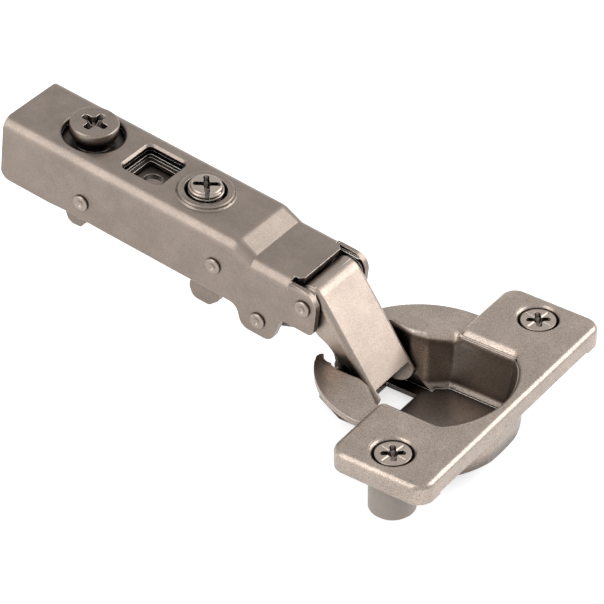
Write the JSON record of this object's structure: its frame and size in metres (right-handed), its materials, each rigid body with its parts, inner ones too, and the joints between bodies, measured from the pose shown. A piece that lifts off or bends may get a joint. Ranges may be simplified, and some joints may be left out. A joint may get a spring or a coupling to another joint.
{
  "type": "soft-close cabinet hinge",
  "caption": "Concealed cabinet door hinge: a folded arm with adjusting screws, four-bar links, a damper and a round cup with a screw wing.",
  "frame": {"origin": "centre of the locating hole at the underside of the clip carriage's web", "axes": "+X along the arm towards the cup, +Z out of the arm's top face, +Y across the hinge"},
  "size_m": [0.1061, 0.0564, 0.0275],
  "materials": {
    "satin_nickel": "satin nickel plate on pressed steel",
    "bright_nickel": "bright nickel plate",
    "cup_nickel": "satin nickel plate on pressed steel",
    "screw_nickel": "nickel plate on turned steel",
    "pin_steel": "nickel plate on a riveted pin",
    "spring_steel": "drawn spring wire",
    "dowel_plastic": "moulded nylon",
    "damper_plastic": "moulded acetal"
  },
  "bodies": {
    "carriage": {"clip_carriage": "satin_nickel", "catch_pin": "pin_steel", "catch_spring": "spring_steel"},
    "catch": {"catch_lever": "satin_nickel"},
    "slider": {"saddle_plate": "satin_nickel", "tilt_pin": "pin_steel"},
    "cam": {"cam_screw": "screw_nickel"},
    "arm": {"arm": "satin_nickel", "guide_pin": "pin_steel", "inner_link_pin": "pin_steel", "outer_link_pin": "pin_steel", "near_spacer": "pin_steel", "far_spacer": "pin_steel", "near_closing_spring": "spring_steel", "far_closing_spring": "spring_steel", "damper_cylinder": "damper_plastic"},
    "set_screw": {"side_screw": "screw_nickel"},
    "rod": {"damper_rod": "damper_plastic"},
    "outer_link": {"outer_link": "bright_nickel"},
    "cup": {"cup": "cup_nickel", "outer_cup_pin": "pin_steel", "inner_cup_pin": "pin_steel", "near_dowel": "dowel_plastic", "far_dowel": "dowel_plastic"},
    "near_screw": {"near_wing_screw": "screw_nickel"},
    "far_screw": {"far_wing_screw": "screw_nickel"},
    "inner_link": {"inner_link": "satin_nickel"}
  },
  "joints": [
    {"name": "depth_slide", "type": "slide", "parent": "carriage", "child": "slider", "axis": [1, 0, 0], "range_m": [-0.0018, 0.0018]},
    {"name": "cam_turn", "type": "hinge", "parent": "slider", "child": "cam", "pos_m": [-0.0136, 0, 0], "axis": [0, 0, 1], "range_deg": [-45.1, 45.1]},
    {"name": "side_tilt", "type": "hinge", "parent": "slider", "child": "arm", "pos_m": [-0.0095, 0, -0.00435], "axis": [0, -1, 0], "range_deg": [-1, 1]},
    {"name": "side_screw_turn", "type": "hinge", "parent": "arm", "child": "set_screw", "pos_m": [0.0113, 0, 0], "axis": [0, 0, 1], "range_deg": [-160.5, 160.5]},
    {"name": "damper_stroke", "type": "slide", "parent": "arm", "child": "rod", "axis": [-1, 0, 0], "range_m": [0, 0.002], "stiffness_N_per_m": 100, "springref_m": -0.001},
    {"name": "outer_link_swing", "type": "hinge", "parent": "arm", "child": "outer_link", "pos_m": [0.0386, 0, -0.0011], "axis": [0, -1, 0], "range_deg": [-13.7, 2]},
    {"name": "cup_swing", "type": "hinge", "parent": "outer_link", "child": "cup", "pos_m": [0.05045, 0, -0.01426], "axis": [0, -1, 0], "range_deg": [-14.09, 96.57]},
    {"name": "inner_link_swing", "type": "hinge", "parent": "cup", "child": "inner_link", "pos_m": [0.04669, 0, -0.01241], "axis": [0, -1, 0], "range_deg": [-110.1, 16.1]},
    {"name": "near_screw_turn", "type": "hinge", "parent": "cup", "child": "near_screw", "pos_m": [0.06803, -0.0225, -0.00573], "axis": [-0.1236, 0, 0.9923], "continuous": true},
    {"name": "far_screw_turn", "type": "hinge", "parent": "cup", "child": "far_screw", "pos_m": [0.06803, 0.0225, -0.00573], "axis": [-0.1236, 0, 0.9923], "continuous": true},
    {"name": "catch_swing", "type": "hinge", "parent": "carriage", "child": "catch", "pos_m": [-0.0186, 0, -0.0044], "axis": [0, -1, 0], "range_deg": [-8, 0], "stiffness_Nm_per_rad": 0.05, "springref_deg": 5.73}
  ],
  "couplings": [
    {"joint": "cam_turn", "follows": "depth_slide", "rad_per_m": 436.3},
    {"joint": "side_screw_turn", "follows": "side_tilt", "ratio": -160},
    {"joint": "outer_link_swing", "follows": "cup_swing", "ratio": -0.14163},
    {"joint": "inner_link_swing", "follows": "cup_swing", "ratio": -1.1399}
  ]
}
